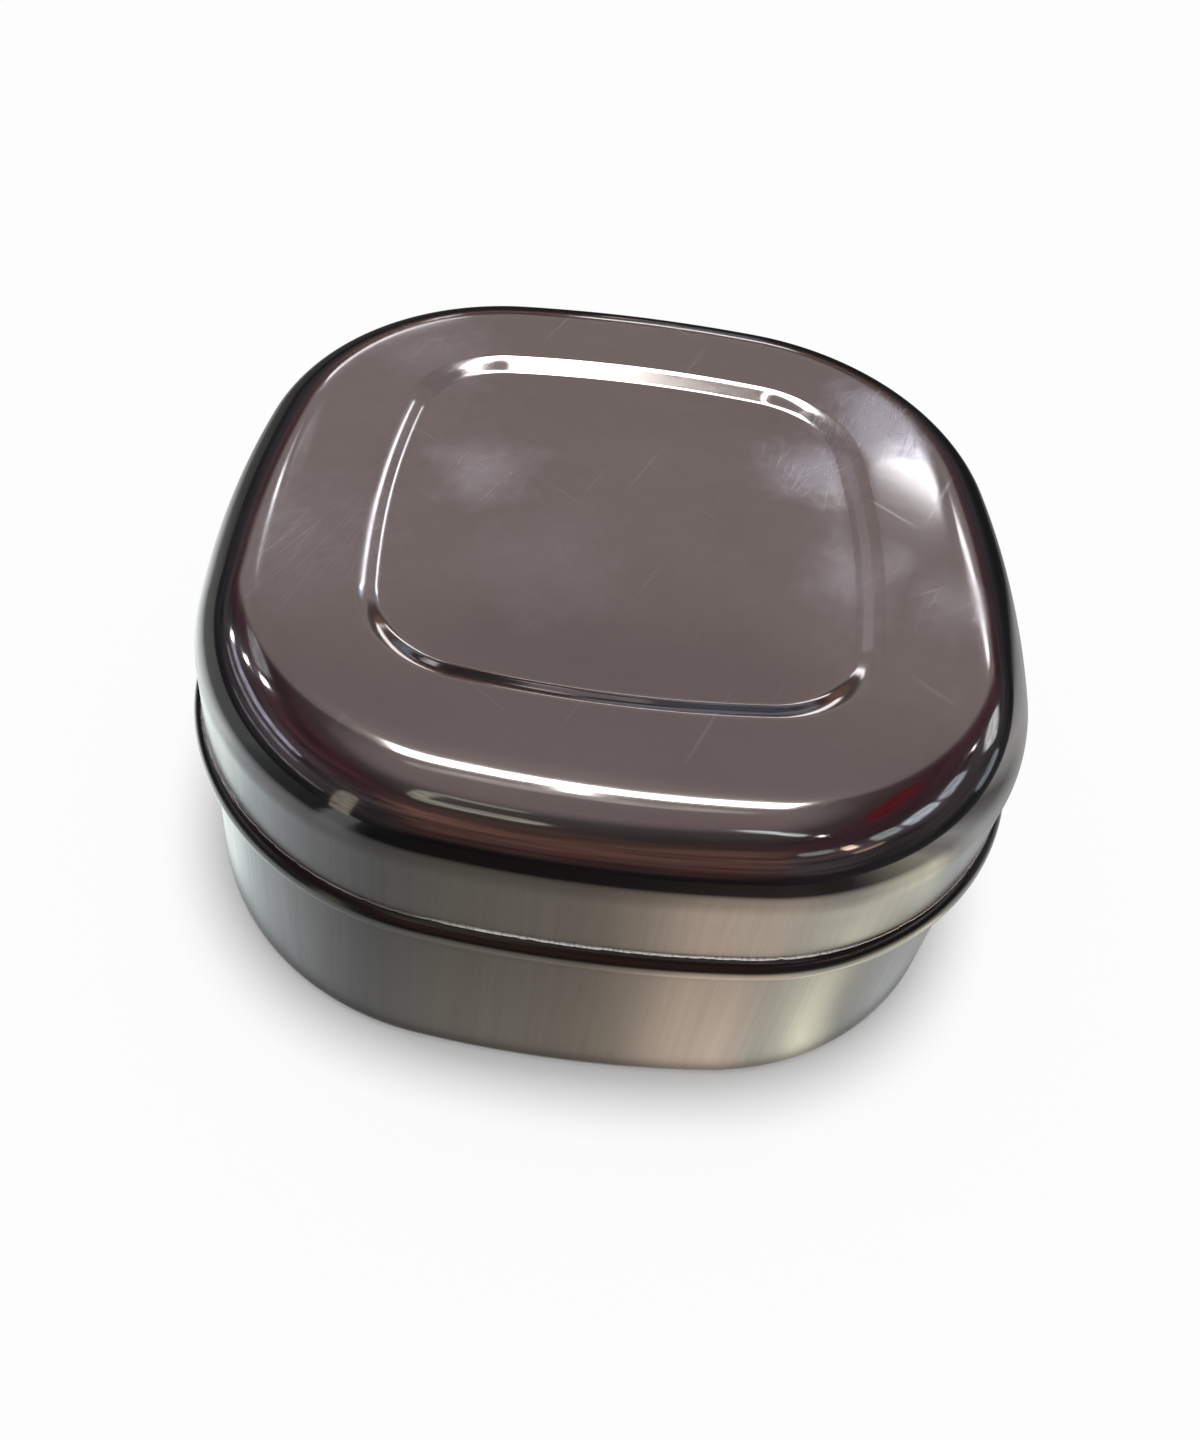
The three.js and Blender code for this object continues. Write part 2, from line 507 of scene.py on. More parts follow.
lidFinish = {
    "polished": (0.51, 0.47, 0.46, 1),
    "polishedDull": (0.47, 0.43, 0.42, 1),
    # paler and bluer than the steel: wear, with a painted sheen of the light its haze scatters
    "hazeAndSheen": (0.88, 0.88, 0.97, 1),
    "grainLight": (0.36, 0.337, 0.317, 1),
    "grainDark": (0.305, 0.283, 0.265, 1),
    # pale; where the lip is bare of shine this colour is a painted highlight
    "cutEdge": (0.9, 0.88, 0.84, 1),
    # painted shade: near black in the angle over the lip
    "paintedShade": (0.05, 0.042, 0.038, 1),
    "polishRoughness": 0.07,
    "topRoughness": 0.09,
    "grainRoughness": 0.25,
    "cutRoughness": 0.2,
    "bloom": 0.6,  # the faint second sheen that fine scratches spread
    "frayedAndHighlight": ((9 * mm, -65 * mm, seamHeight), 33 * mm, 0.7),  # where the lip's burr is bare, matt and pale; along this front stretch only, a painted highlight
    "hazeRoughness": 0.36,  # what fine scratches add where the polish is rubbed
    "rubbedSpots": [  # middle, radius and strength of each place where the polish is rubbed dull
        ((-24 * mm, 7 * mm, lidTop), 11 * mm, 1.0),
        ((30 * mm, 18 * mm, lidTop), 10 * mm, 1.0),
        ((44 * mm, 34 * mm, lidTop), 13 * mm, 0.9),
        ((50 * mm, -12 * mm, lidTop), 9 * mm, 0.45),
        ((-50 * mm, -14 * mm, lidTop), 18 * mm, 0.4),
        ((-36 * mm, 38 * mm, lidTop), 14 * mm, 0.4),
        ((36 * mm, -8 * mm, lidTop), 11 * mm, 0.5),
        ((-12 * mm, -12 * mm, lidTop), 16 * mm, 0.3),
    ],
}

baseFinish = {
    "polished": (0.48, 0.445, 0.425, 1),
    "polishedDull": (0.45, 0.415, 0.395, 1),
    "hazeAndSheen": (0.52, 0.50, 0.50, 1),
    "grainLight": (0.385, 0.36, 0.337, 1),
    "grainDark": (0.32, 0.297, 0.276, 1),
    "cutEdge": (0.72, 0.70, 0.66, 1),
    # painted shade: near black in the groove over the bead and in a line under it
    "paintedShade": (0.05, 0.042, 0.038, 1),
    "polishRoughness": 0.1,
    "topRoughness": 0.18,
    "grainRoughness": 0.26,
    "cutRoughness": 0.3,
    "bloom": 0.2,
    "frayedAndHighlight": ((0, 0, baseHigh.z), 100 * mm, 0.15),
    "hazeRoughness": 0.15,
    "rubbedSpots": [
        ((40 * mm, 30 * mm, 0), 18 * mm, 0.8),
        ((-30 * mm, -20 * mm, 0), 15 * mm, 0.8),
    ],
}


# The sheet's texture on both pieces. A scale is how many cells of noise a metre holds.
steelTexture = {
    "fineGrain": (3200, 3200, 40),
    "coarseGrain": (900, 900, 16),
    "broadGrain": (150, 150, 12),
    "grainShares": (0.2, 0.3, 0.5),  # fine, coarse and broad
    "evenSpan": (0.36, 0.64),  # where most of a noise's values lie
    "grainSpread": 0.03,  # how far the grain's roughness goes up and down
    "raggedScale": (120, 120, 120),  # the rims of the rubbed places
    "raggedness": 1.5,
    "hatchTurns": (16, 22, 28, 9, 62),  # degrees, of the scratches that a rubbed place is made of
    "hatch": (3000, 90, 0.5),  # how fine, how short and how rare
    "hatchFloor": 0.5,  # haze left between those scratches
    "strays": [(24, 900, 40, 0.62), (-52, 800, 48, 0.64)],  # long scratches: turn, fine, short, rare
    "strayStrength": 0.3,
    "mottleScale": (300, 300, 300),
    "mottleSpread": 0.05,
    "cloudScale": (38, 38, 38),
    "cloudShare": 0.6,  # against the mottle
    "jagScale": (2400, 2400, 0),  # along the frayed edge
    "flatFrom": (0.9, 0.995),  # how upward a face looks
    "bloomRoughness": 0.3,
    "reliefDepth": 0.0012 * mm,
    "scratchRelief": 0.25,  # against the grain's
}


# Upright grain, from hairlines to broad soft bands
def uprightGrain(bench, place):
    fineShare, coarseShare, broadShare = steelTexture["grainShares"]
    fine = bench.noiseAt(place, steelTexture["fineGrain"], detail=1.5)
    coarse = bench.noiseAt(place, steelTexture["coarseGrain"], detail=2)
    broad = bench.noiseAt(place, steelTexture["broadGrain"], detail=2)
    grain = bench.calc("MULTIPLY", broad, broadShare)
    grain = bench.calc("MULTIPLY_ADD", coarse, coarseShare, grain)
    grain = bench.calc("MULTIPLY_ADD", fine, fineShare, grain)
    return bench.ramp(grain, *steelTexture["evenSpan"])


# Places rubbed dull, a haze with ragged rims made of fine scratches that cross, and long stray
# scratches anywhere on the flats
def rubbedMarks(bench, place, spots, flat):
    ragged = bench.noiseAt(place, steelTexture["raggedScale"], detail=5, roughness=0.65)
    ragged = bench.calc("SUBTRACT", ragged, 0.5)
    haze = 0.0
    for middle, radius, strength in spots:
        share = bench.calc("DIVIDE", bench.distance(place, middle), radius)
        reach = bench.calc("MULTIPLY_ADD", ragged, steelTexture["raggedness"], share)
        haze = bench.calc("MAXIMUM", haze, bench.ramp(reach, 1.05, 0.1, 0, strength))
    hatch = 0.0
    for turn in steelTexture["hatchTurns"]:
        scratches = bench.scratchesAt(place, turn, *steelTexture["hatch"])
        hatch = bench.calc("MAXIMUM", hatch, scratches)
    rubbed = bench.calc("MULTIPLY", haze, bench.ramp(hatch, 0, 1, steelTexture["hatchFloor"], 1))
    stray = 0.0
    for scratches in steelTexture["strays"]:
        stray = bench.calc("MAXIMUM", stray, bench.scratchesAt(place, *scratches))
    stray = bench.calc("MULTIPLY", stray, flat)
    stray = bench.calc("MULTIPLY", stray, steelTexture["strayStrength"])
    return bench.calc("MAXIMUM", rubbed, stray)


# How bare of shine the cut edge is, in jags along it, near a middle; the pale bare stretch on the
# lid's lip is a painted highlight
def frayedEdgeAndHighlight(bench, place, cut, frayedAndHighlight):
    middle, radius, strength = frayedAndHighlight
    near = bench.ramp(bench.distance(place, middle), radius, 0.7 * radius, 0, strength)
    jags = bench.noiseAt(place, steelTexture["jagScale"], detail=1)
    jags = bench.ramp(jags, 0.35, 0.55, 0.5, 1)
    return bench.calc("MULTIPLY", bench.calc("MULTIPLY", near, jags), cut)


def steelFinish(name, finish):
    material = bpy.data.materials.new(name)
    material.use_nodes = True
    bench = NodeBench(material.node_tree)
    steel = material.node_tree.nodes["Principled BSDF"]
    steel.inputs["Coat Weight"].default_value = finish["bloom"]
    steel.inputs["Coat Roughness"].default_value = steelTexture["bloomRoughness"]
    place = bench.add("ShaderNodeTexCoord").outputs["Object"]
    brushed = bench.add("ShaderNodeAttribute", attribute_name="brushed").outputs["Fac"]
    cut = bench.add("ShaderNodeAttribute", attribute_name="cut").outputs["Fac"]
    paintedShade = bench.add("ShaderNodeAttribute", attribute_name="paintedShade").outputs["Fac"]
    facing = bench.add("ShaderNodeNewGeometry").outputs["Normal"]
    upward = bench.add("ShaderNodeSeparateXYZ", {"Vector": facing}).outputs["Z"]
    flat = bench.ramp(bench.calc("ABSOLUTE", upward), *steelTexture["flatFrom"])
    grain = uprightGrain(bench, place)
    marks = rubbedMarks(bench, place, finish["rubbedSpots"], flat)
    mottle = bench.noiseAt(place, steelTexture["mottleScale"], detail=5, roughness=0.6)
    clouds = bench.noiseAt(place, steelTexture["cloudScale"], detail=3)

    polishRough = bench.mix(flat, finish["polishRoughness"], finish["topRoughness"])
    polishRough = bench.calc("MULTIPLY_ADD", marks, finish["hazeRoughness"], polishRough)
    uneven = bench.calc("SUBTRACT", mottle, 0.5)
    polishRough = bench.calc("MULTIPLY_ADD", uneven, steelTexture["mottleSpread"], polishRough)
    roughest = finish["grainRoughness"] + steelTexture["grainSpread"]
    smoothest = finish["grainRoughness"] - steelTexture["grainSpread"]
    grainRough = bench.ramp(grain, 0, 1, roughest, smoothest)
    rough = bench.mix(cut, bench.mix(brushed, polishRough, grainRough), finish["cutRoughness"])
    bench.feed(steel.inputs["Roughness"], rough)
    frayedAndHighlight = frayedEdgeAndHighlight(bench, place, cut, finish["frayedAndHighlight"])
    # on the lid's front stretch of lip this makes a pale matt painted highlight
    bench.feed(steel.inputs["Metallic"], bench.calc("SUBTRACT", 1.0, frayedAndHighlight))

    tone = bench.calc("MULTIPLY", mottle, 1 - steelTexture["cloudShare"])
    tone = bench.calc("MULTIPLY_ADD", clouds, steelTexture["cloudShare"], tone)
    tone = bench.ramp(tone, *steelTexture["evenSpan"])
    polished = bench.blend(tone, finish["polished"], finish["polishedDull"])
    # rubbed places and scratches take the haze colour, on the lid a painted sheen
    polished = bench.blend(marks, polished, finish["hazeAndSheen"])
    grained = bench.blend(grain, finish["grainDark"], finish["grainLight"])
    colour = bench.blend(cut, bench.blend(brushed, polished, grained), finish["cutEdge"])
    # painted shade darkens the angle over the lid's lip and the groove round the bead
    colour = bench.blend(paintedShade, colour, finish["paintedShade"])
    bench.feed(steel.inputs["Base Color"], colour)

    scratchRelief = bench.calc("MULTIPLY", marks, steelTexture["scratchRelief"])
    relief = bench.add("ShaderNodeBump", {
        "Strength": 1.0,
        "Distance": steelTexture["reliefDepth"],
        "Height": bench.mix(brushed, scratchRelief, grain),
    })
    bench.feed(steel.inputs["Normal"], relief.outputs[0])
    return material


lid.data.materials.append(steelFinish("polished_lid_steel", lidFinish))
base.data.materials.append(steelFinish("brushed_base_steel", baseFinish))
for piece, body, node, steelSlot in (
        (lid, "lid", "lid", "lid_steel"), (base, "base", "base", "base_steel")):
    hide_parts(node)
    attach(piece, body)
print("steel finished and seated")


# Studio: pale floor, pale low horizon, soft boxes, and a dark tent that only mirrors
studio = {
    "floorColour": (0.9, 0.9, 0.9, 1),
    "floorRadius": 3.0,
    "floorWhite": 0.93,  # how much of the open floor is plain white to the eye
    "contactReach": 14 * mm,  # how far out the box darkens that white
    "contactWhite": 0.08,  # what is left of it close to the box
    "openSpan": (0.52, 0.93),  # how open the floor lies, from darkened to plain
    "horizonColour": (0.95, 0.95, 0.95, 1),
    "upperColour": (0.72, 0.72, 0.72, 1),
    "horizonTop": 16,  # degrees
    "upperFrom": 26,
}


def stagePiece(name, sheet, material):
    mesh = bpy.data.meshes.new(name)
    sheet.to_mesh(mesh)
    sheet.free()
    mesh.materials.append(material)
    piece = bpy.data.objects.new(name, mesh)
    bpy.context.scene.collection.objects.link(piece)
    return piece


# 1 for rays that look at a thing, straight or in metal, and 0 for rays that gather light
def seenBy(bench):
    path = bench.add("ShaderNodeLightPath")
    seen = bench.calc("MAXIMUM", path.outputs["Is Camera Ray"], path.outputs["Is Glossy Ray"])
    return bench.calc("MAXIMUM", seen, path.outputs["Is Transmission Ray"])


def paleFloor():
    material = bpy.data.materials.new("pale_floor")
    material.use_nodes = True
    tree = material.node_tree
    bench = NodeBench(tree)
    surface = tree.nodes["Principled BSDF"]
    surface.inputs["Base Color"].default_value = studio["floorColour"]
    surface.inputs["Roughness"].default_value = 1.0
    surface.inputs["Specular IOR Level"].default_value = 0.0
    contact = bench.add(
        "ShaderNodeAmbientOcclusion", {"Distance": studio["contactReach"]}, samples=16)
    white = bench.ramp(
        contact.outputs["AO"], *studio["openSpan"], studio["contactWhite"], studio["floorWhite"])
    glow = bench.add("ShaderNodeEmission", {"Color": (1, 1, 1, 1), "Strength": 1.0})
    both = bench.add("ShaderNodeMixShader", {"Fac": bench.calc("MULTIPLY", white, seenBy(bench))})
    tree.links.new(surface.outputs[0], both.inputs[1])
    tree.links.new(glow.outputs[0], both.inputs[2])
    tree.links.new(both.outputs[0], tree.nodes["Material Output"].inputs["Surface"])
    sheet = bmesh.new()
    bmesh.ops.create_circle(sheet, cap_ends=True, segments=96, radius=studio["floorRadius"])
    stagePiece("floor", sheet, material)


def studioWorld():
    world = bpy.data.worlds.new("studio")
    world.use_nodes = True
    bpy.context.scene.world = world
    bench = NodeBench(world.node_tree)
    direction = bench.add("ShaderNodeTexCoord").outputs["Generated"]
    up = bench.add("ShaderNodeSeparateXYZ", {"Vector": direction}).outputs["Z"]
    low = math.sin(math.radians(studio["horizonTop"]))
    high = math.sin(math.radians(studio["upperFrom"]))
    rise = bench.ramp(up, low, high)
    colour = bench.blend(rise, studio["horizonColour"], studio["upperColour"])
    colour = bench.blend(seenBy(bench), colour, (1, 1, 1, 1))
    bench.feed(world.node_tree.nodes["Background"].inputs["Color"], colour)


# Where a thing stands that is seen from the box in a direction: azimuth 0 is behind the box
def placeAt(azimuth, elevation, distance):
    turn = math.radians(azimuth)
    rise = math.radians(elevation)
    return Vector((
        math.sin(turn) * math.cos(rise),
        math.cos(turn) * math.cos(rise),
        math.sin(rise),
    )) * distance + Vector((0, 0, lidTop))


# Turns a thing at a place towards the box, and spins it about that line of sight
def facingBox(place, spin):
    aim = (Vector((0, 0, lidTop)) - place).to_track_quat("-Z", "Y")
    turned = aim.to_matrix().to_4x4() @ Matrix.Rotation(math.radians(spin), 4, "Z")
    return Matrix.Translation(place) @ turned


# Lamps. Directions and widths are in degrees as the box sees them, distances in metres.
softBoxes = {
    "overheadLeft": {
        "azimuth": -10, "elevation": 68.2, "width": 14, "height": 8.4, "spin": -17,
        "distance": 3.4, "radiance": 6.8, "colour": (1.0, 0.985, 0.94),
    },
    "overheadRight": {
        "azimuth": 25.7, "elevation": 68.5, "width": 12.2, "height": 7.1, "spin": 13,
        "distance": 3.4, "radiance": 6.8, "colour": (1.0, 0.985, 0.94),
    },
    "overheadRear": {
        "azimuth": 7, "elevation": 77.2, "width": 1.4, "height": 8.2, "spin": 7,
        "distance": 3.4, "radiance": 6.8, "colour": (1.0, 0.985, 0.94),
    },
    "rearWindow": {
        "azimuth": 20.7, "elevation": 34.7, "width": 4.2, "height": 2.3, "spin": -14,
        "distance": 1.25, "radiance": 3.4, "colour": (0.9, 0.95, 1.0),
    },
    "sideWindow": {
        "azimuth": 37.4, "elevation": 31.9, "width": 16.2, "height": 2.4, "spin": 15,
        "distance": 1.25, "radiance": 2.8, "colour": (0.93, 0.96, 1.0),
    },
    "leftSpot": {
        "azimuth": -70, "elevation": 23, "width": 2, "height": 2, "spin": 0,
        "distance": 1.25, "radiance": 22.0, "colour": (0.95, 0.97, 1.0),
    },
    "leftSpotMiddle": {
        "azimuth": -74, "elevation": 33, "width": 2, "height": 2, "spin": 0,
        "distance": 1.25, "radiance": 22.0, "colour": (0.95, 0.97, 1.0),
    },
    "leftSpotUpper": {
        "azimuth": -77, "elevation": 42, "width": 2.2, "height": 2.2, "spin": 0,
        "distance": 1.25, "radiance": 26.0, "colour": (0.97, 0.98, 1.0),
    },
}


def softBox(name, box):
    lamp = bpy.data.lights.new(name, "AREA")
    lamp.shape = "RECTANGLE"
    lamp.size = 2 * box["distance"] * math.tan(math.radians(box["width"] / 2))
    lamp.size_y = 2 * box["distance"] * math.tan(math.radians(box["height"] / 2))
    lamp.energy = box["radiance"] * math.pi * lamp.size * lamp.size_y
    lamp.color = box["colour"]
    stand = bpy.data.objects.new(name, lamp)
    place = placeAt(box["azimuth"], box["elevation"], box["distance"])
    stand.matrix_world = facingBox(place, box["spin"])
    bpy.context.scene.collection.objects.link(stand)


# The tent hangs wider than the lamps and is only seen in metal, where it glows as a painted
# reflection and lights nothing. From the floor up its cloth goes from black over brown to a paler
# roof. Higher is the sine of the height above the horizon.
darkTent = {
    "radius": 4.0,
    "cloth": [  # higher, colour
        (0.0, (0.004, 0.004, 0.005, 1)),
        (0.1, (0.007, 0.006, 0.007, 1)),
        (0.19, (0.05, 0.026, 0.024, 1)),
        (0.42, (0.12, 0.064, 0.052, 1)),
        (0.59, (0.16, 0.085, 0.062, 1)),
        (0.71, (0.055, 0.035, 0.032, 1)),
        (0.88, (0.09, 0.082, 0.078, 1)),
        (0.95, (0.30, 0.25, 0.25, 1)),
    ],
    "sideCloth": [  # the same, to the left and right
        (0.0, (0.01, 0.01, 0.012, 1)),
        (0.1, (0.014, 0.014, 0.017, 1)),
        (0.25, (0.05, 0.046, 0.052, 1)),
        (0.5, (0.06, 0.045, 0.05, 1)),
        (0.66, (0.055, 0.024, 0.032, 1)),
        (0.79, (0.07, 0.022, 0.032, 1)),
        (0.88, (0.09, 0.06, 0.06, 1)),
        (0.95, (0.30, 0.25, 0.25, 1)),
    ],
    "sideSpan": (0.28, 0.5),  # how far sideways the side cloth takes over
    "rearLift": 0.5,  # the roof comes lower behind the box
    "rearSpan": (0.35, 0.6),  # how far behind, and above what height
    "rearAbove": (0.2, 0.45),
    "folds": (1.6, 1.6, 11.0),
    "foldShade": (0.25, 1.9),
    "smoothSpan": (0.6, 0.95),  # the roof hangs smooth
    "smoothFolds": 0.12,
    "roofShade": 0.8,  # overhead, against low behind the box
    "roofSpan": (0.68, 0.8),
}

# Pale and coloured glowing cards in front of the tent, painted reflections seen only in metal:
# azimuth, elevation, width, height, spin, colour
tentCards = {
    "overhead_glow": (4, 84, 26, 6, 0, (0.6, 0.57, 0.55, 1)),
    "rear": (5.5, 18, 13, 3.6, 0, (2.4, 2.4, 2.4, 1)),
    "rear_middle": (-11.5, 17.5, 3, 3, 0, (2.0, 2.0, 2.0, 1)),
    "rear_left": (-16.5, 26, 15, 3, 0, (2.4, 2.4, 2.5, 1)),
    "rear_rose": (-21.8, 36.3, 5, 5.5, 0, (0.5, 0.44, 0.46, 1)),
    "rear_slate": (6, 10, 8, 5, 35, (0.22, 0.24, 0.3, 1)),
    "rear_stripe": (1, 5.8, 1.6, 3, 35, (0.8, 0.8, 0.84, 1)),
    "rear_low": (2.4, 2.6, 4.4, 4, 0, (0.3, 0.25, 0.25, 1)),
    "rear_low_right": (7, 3.5, 4.4, 5, 0, (0.08, 0.09, 0.11, 1)),
    "rear_sky": (18.6, 32.7, 4.4, 2.6, -14, (0.8, 0.9, 1.2, 1)),
    "left_window": (-31.2, 34.8, 2.2, 10, -32, (1.1, 1.12, 1.2, 1)),
    "left_glint": (-31, 34.6, 2.4, 3.4, -32, (5.0, 5.2, 5.5, 1)),
    "left": (-62, 43, 12, 9, 10, (0.42, 0.42, 0.44, 1)),
    "left_band": (-93, 26, 44, 4, 6, (0.62, 0.64, 0.82, 1)),
    "left_band_low": (-96, 19, 44, 2.6, 4, (0.4, 0.4, 0.48, 1)),
    "left_band_lower": (-110, 10, 44, 2, 0, (0.28, 0.28, 0.3, 1)),
    "right": (68, 22, 12, 9, 26, (1.0, 1.08, 1.12, 1)),
    "right_low": (82, 9, 14, 5, 6, (0.34, 0.4, 0.44, 1)),
    "right_middle": (87, 31, 11, 7, 8, (0.62, 0.7, 0.82, 1)),
    "right_rose": (86, 53, 22, 7, 0, (0.16, 0.008, 0.018, 1)),
    "right_high": (102, 32, 12, 8, 0, (0.85, 0.98, 1.1, 1)),
    "front_right": (116, 33, 9, 7, -4, (0.5, 0.6, 0.62, 1)),
    "front_right_spot": (130, 33, 4, 5, 4, (2.2, 1.8, 1.45, 1)),
    "front_right_gold": (126, 26, 10, 2.4, 4, (0.6, 0.46, 0.34, 1)),
    "front_right_low": (141, 35, 10, 4, 0, (0.42, 0.47, 0.45, 1)),
    "front_right_top": (136, 61, 11, 3, -60, (1.2, 1.4, 1.4, 1)),
    "front_right_spark": (127.7, 52.7, 1.5, 1.5, 0, (7.0, 6.6, 6.6, 1)),
    "right_spark": (69.5, 33.2, 1.4, 1.4, 0, (7.0, 6.6, 6.6, 1)),
    "front_left_strip": (-139, 9, 7, 30, 0, (0.36, 0.36, 0.3, 1)),
    "front_left_block": (-153.5, 56, 5, 12, 0, (0.5, 0.5, 0.42, 1)),
    "front_left_lower": (-165, 51, 16, 5, 0, (0.46, 0.46, 0.39, 1)),
    "front_left_upper": (-164, 62.4, 9, 2.4, 0, (0.46, 0.46, 0.39, 1)),
}
cardCloth = {
    "distance": 1.45,
    "blotches": (9, 16, 9),
    "shade": (0.45, 1.1),
    "corners": 4,  # 2 makes an ellipse, and more comes closer to a rectangle
}

# The mat round the box, seen only in metal, glows as a painted reflection of the floor. Its tones
# swirl on outward past the corners.
tentMat = {
    "height": 0.3 * mm,
    "rings": [0.4, 2, 4, 8, 13, 20, 30, 45, 65, 95, 140, 220],  # mm out from the wall
    "contact": 2.4 * mm,  # painted shadow: darker nearer the wall than this
    "contactGlow": 0.1,
    "nearGlow": 1.12,
    "fadeFrom": 8 * mm,
    "fadeTo": 150 * mm,
    "swirlFrom": 70 * mm,  # from the box's middle
    "swirlReach": 30,  # mm further out
    "swirlTurn": 45,  # degrees round from the front where the next two hold
    "swirlLeft": 0.3,  # degrees for each mm further out
    "swirlRight": 0.52,
    "swirlMost": 60,  # degrees from the front, and from the back, beyond which it grows no more
    "farGlow": [  # degrees round the box from its front to the right, strength past fadeTo
        (-180, 0.03), (-125, 0.16), (-100, 0.1), (-60, 0.07), (-45, 0.05), (-42, 0.6), (-36, 0.6),
        (-33, 0.03), (42, 0.03), (60, 0.25), (74, 0.75), (84, 0.4), (90, 0.3), (98, 0.9),
        (106, 1.3), (119, 0.9), (125, 0.03), (180, 0.03),
    ],
    "tones": [  # degrees round the box from its front to the right, colour
        (-180, (0.35, 0.35, 0.35)),
        (-115, (0.5, 0.52, 0.5)),
        (-85, (1.2, 1.3, 1.28)),
        (-58, (1.15, 1.28, 1.28)),
        (-51, (0.66, 0.77, 0.79)),
        (-43, (0.47, 0.5, 0.53)),
        (-35, (0.29, 0.31, 0.33)),
        (-28, (0.21, 0.22, 0.23)),
        (-22, (0.22, 0.225, 0.225)),
        (-15, (0.26, 0.254, 0.226)),
        (1, (0.32, 0.293, 0.256)),
        (8, (0.48, 0.42, 0.357)),
        (15, (0.95, 0.8, 0.67)),
        (22, (1.1, 0.957, 0.814)),
        (26, (0.76, 0.74, 0.66)),
        (29, (0.84, 0.84, 0.75)),
        (33, (1.42, 1.43, 1.16)),
        (39, (0.46, 0.48, 0.46)),
        (47, (0.55, 0.58, 0.6)),
        (54, (0.46, 0.48, 0.48)),
        (80, (0.36, 0.37, 0.37)),
        (180, (0.35, 0.35, 0.35)),
    ],
}


def onlyMirrored(piece):
    piece.visible_camera = False
    piece.visible_diffuse = False
    piece.visible_shadow = False
    piece.visible_transmission = False
    piece.visible_volume_scatter = False


def glowing(name):
    material = bpy.data.materials.new(name)
    material.use_nodes = True
    tree = material.node_tree
    tree.nodes.remove(tree.nodes["Principled BSDF"])
    bench = NodeBench(tree)
    glow = bench.add("ShaderNodeEmission")
    tree.links.new(glow.outputs[0], tree.nodes["Material Output"].inputs["Surface"])
    return material, bench, glow


def hangTent():
    material, bench, glow = glowing("tent_cloth")
    place = bench.add("ShaderNodeTexCoord").outputs["Object"]
    ray = bench.add("ShaderNodeVectorMath", {0: place}, operation="NORMALIZE").outputs[0]
    across, behind, up = bench.add("ShaderNodeSeparateXYZ", {"Vector": ray}).outputs
    rear = bench.ramp(behind, *darkTent["rearSpan"])
    rear = bench.calc("MULTIPLY", rear, bench.ramp(up, *darkTent["rearAbove"]))
    higher = bench.calc("MULTIPLY_ADD", rear, darkTent["rearLift"], up)
    sideways = bench.ramp(bench.calc("ABSOLUTE", across), *darkTent["sideSpan"])
    cloth = bench.colours(higher, darkTent["cloth"])
    cloth = bench.blend(sideways, cloth, bench.colours(higher, darkTent["sideCloth"]))
    folds = bench.noiseAt(ray, darkTent["folds"], detail=4, roughness=0.6)
    folds = bench.ramp(folds, 0.34, 0.66, *darkTent["foldShade"])
    contrast = bench.ramp(higher, *darkTent["smoothSpan"], 1, darkTent["smoothFolds"])
    shade = bench.mix(contrast, 1.0, folds)
    overhead = bench.ramp(up, *darkTent["roofSpan"], 1, darkTent["roofShade"])
    shade = bench.calc("MULTIPLY", shade, overhead)
    bench.feed(glow.inputs["Color"], cloth)
    bench.feed(glow.inputs["Strength"], shade)
    sheet = bmesh.new()
    bmesh.ops.create_uvsphere(sheet, u_segments=64, v_segments=32, radius=darkTent["radius"])
    below = [vertex for vertex in sheet.verts if vertex.co.z < -0.001]
    bmesh.ops.delete(sheet, geom=below, context="VERTS")
    onlyMirrored(stagePiece("tent", sheet, material))


def hangCard(name, azimuth, elevation, width, height, spin, colour):
    material, bench, glow = glowing("card_" + name)
    place = bench.add("ShaderNodeTexCoord").outputs["Object"]
    blotches = bench.noiseAt(place, cardCloth["blotches"], detail=3)
    bench.feed(glow.inputs["Color"], colour)
    bench.feed(glow.inputs["Strength"], bench.ramp(blotches, 0.35, 0.6, *cardCloth["shade"]))
    halfAcross = cardCloth["distance"] * math.tan(math.radians(width / 2))
    halfUp = cardCloth["distance"] * math.tan(math.radians(height / 2))
    power = cardCloth["corners"]
    sheet = bmesh.new()
    rim = []
    for x, y in arcOf(0, 0, 1, 0, 4 * quarterTurn, 48)[:-1]:
        swell = (abs(x) ** power + abs(y) ** power) ** (-1 / power)
        rim.append(sheet.verts.new((x * swell * halfAcross, y * swell * halfUp, 0)))
    sheet.faces.new(rim)
    card = stagePiece("card_" + name, sheet, material)
    card.matrix_world = facingBox(placeAt(azimuth, elevation, cardCloth["distance"]), spin)
    onlyMirrored(card)


# The mat's colour at a place on it, and as a fourth value how bright it stays far out
def matTone(x, y):
    turn = math.degrees(math.atan2(x, -y))
    glow = float(np.interp(turn, *zip(*tentMat["farGlow"])))
    beyond = max(0, math.hypot(x, y) - tentMat["swirlFrom"]) / mm
    beyond = min(beyond, tentMat["swirlReach"])
    pull = tentMat["swirlRight"] if turn > 0 else tentMat["swirlLeft"]
    most = tentMat["swirlMost"]
    swirl = pull * (min(abs(turn), most) / tentMat["swirlTurn"]) ** 2 * beyond
    swirl *= min(1, (180 - abs(turn)) / most)
    turn -= math.copysign(min(swirl, abs(turn)), turn)
    places = [place for place, colour in tentMat["tones"]]
    shades = np.array([colour for place, colour in tentMat["tones"]])
    return [float(np.interp(turn, places, shades[:, band])) for band in range(3)] + [glow]


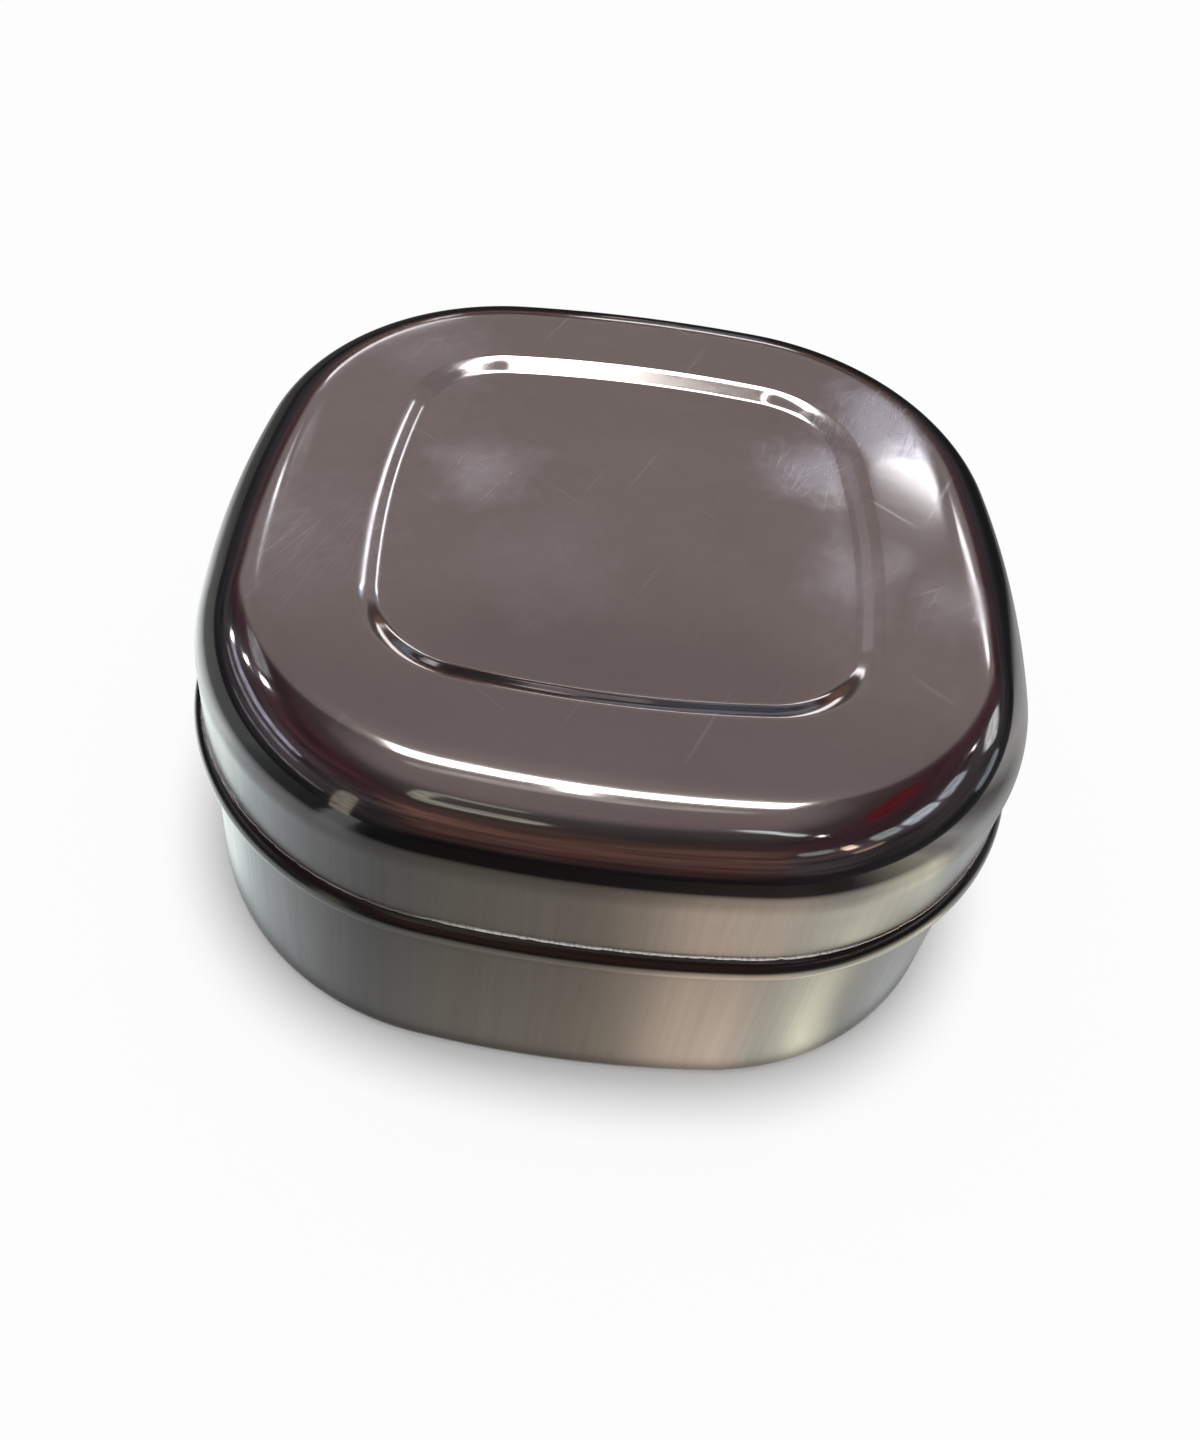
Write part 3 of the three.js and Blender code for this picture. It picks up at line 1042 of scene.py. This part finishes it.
def layMat():
    material, bench, glow = glowing("tent_mat")
    tone = bench.add("ShaderNodeAttribute", attribute_name="tone").outputs
    away = bench.add("ShaderNodeAttribute", attribute_name="away").outputs["Fac"]
    bench.feed(glow.inputs["Color"], tone["Color"])
    fade = bench.ramp(
        away, tentMat["fadeFrom"], tentMat["fadeTo"], tentMat["nearGlow"], tone["Alpha"])
    # painted contact shadow in the mat next to the wall
    contact = bench.ramp(away, 0, tentMat["contact"], tentMat["contactGlow"], 1)
    fade = bench.calc("MULTIPLY", fade, contact)
    bench.feed(glow.inputs["Strength"], fade)
    sheet = bmesh.new()
    awayLayer = sheet.verts.layers.float.new("away")
    toneLayer = sheet.verts.layers.float_color.new("tone")
    wallInset = sheetSteel["thickness"] + sheetSteel["slipClearance"]

    def matVertex(x, y, out):
        vertex = sheet.verts.new((x, y, tentMat["height"]))
        vertex[awayLayer] = out
        vertex[toneLayer] = matTone(x, y)
        return vertex

    rows = []
    for out in tentMat["rings"]:
        row = []
        for point in outlineAt(wallInset - out * mm)[0][::4]:
            row.append(matVertex(point[0], point[1], out * mm))
        rows.append(row)
    hem = []
    for inner in rows[-1]:
        place = inner.co.xy.normalized() * darkTent["radius"]
        hem.append(matVertex(place.x, place.y, darkTent["radius"]))
    rows.append(hem)
    for near, far in zip(rows, rows[1:]):
        for station in range(len(near)):
            after = (station + 1) % len(near)
            sheet.faces.new((near[station], far[station], far[after], near[after]))
    onlyMirrored(stagePiece("tent_mat", sheet, material))


paleFloor()
studioWorld()
hangTent()
for name, card in tentCards.items():
    hangCard(name, *card)
layMat()
for name, box in softBoxes.items():
    softBox(name, box)
print("studio set")


# Camera as the photograph was taken, close above the front
camera = {
    "place": (-10.15 * mm, -159.13 * mm, 196.08 * mm),
    "azimuth": 0.943,
    "elevation": 44.608,
    "roll": -6.519,
    "lens": 32.89,
    "shiftX": 0.0441,
    "shiftY": -0.0898,
    "nearClip": 5 * mm,
}


def placeCamera():
    turn = math.radians(camera["azimuth"])
    dip = math.radians(camera["elevation"])
    roll = math.radians(camera["roll"])
    level = Vector((-math.sin(turn), math.cos(turn), 0))
    ahead = level * math.cos(dip) - Vector((0, 0, math.sin(dip)))
    levelRight = ahead.cross(Vector((0, 0, 1))).normalized()
    levelDown = ahead.cross(levelRight)
    right = levelRight * math.cos(roll) + levelDown * math.sin(roll)
    up = right.cross(ahead)
    eye = bpy.data.objects.new("camera", bpy.data.cameras.new("camera"))
    eye.data.lens = camera["lens"]
    eye.data.shift_x = camera["shiftX"]
    eye.data.shift_y = camera["shiftY"]
    eye.data.clip_start = camera["nearClip"]
    facing = Matrix((right, up, -ahead)).transposed().to_4x4()
    eye.matrix_world = Matrix.Translation(camera["place"]) @ facing
    bpy.context.scene.collection.objects.link(eye)
    bpy.context.scene.camera = eye


placeCamera()
bpy.context.scene.view_settings.view_transform = "Standard"
print("camera placed")
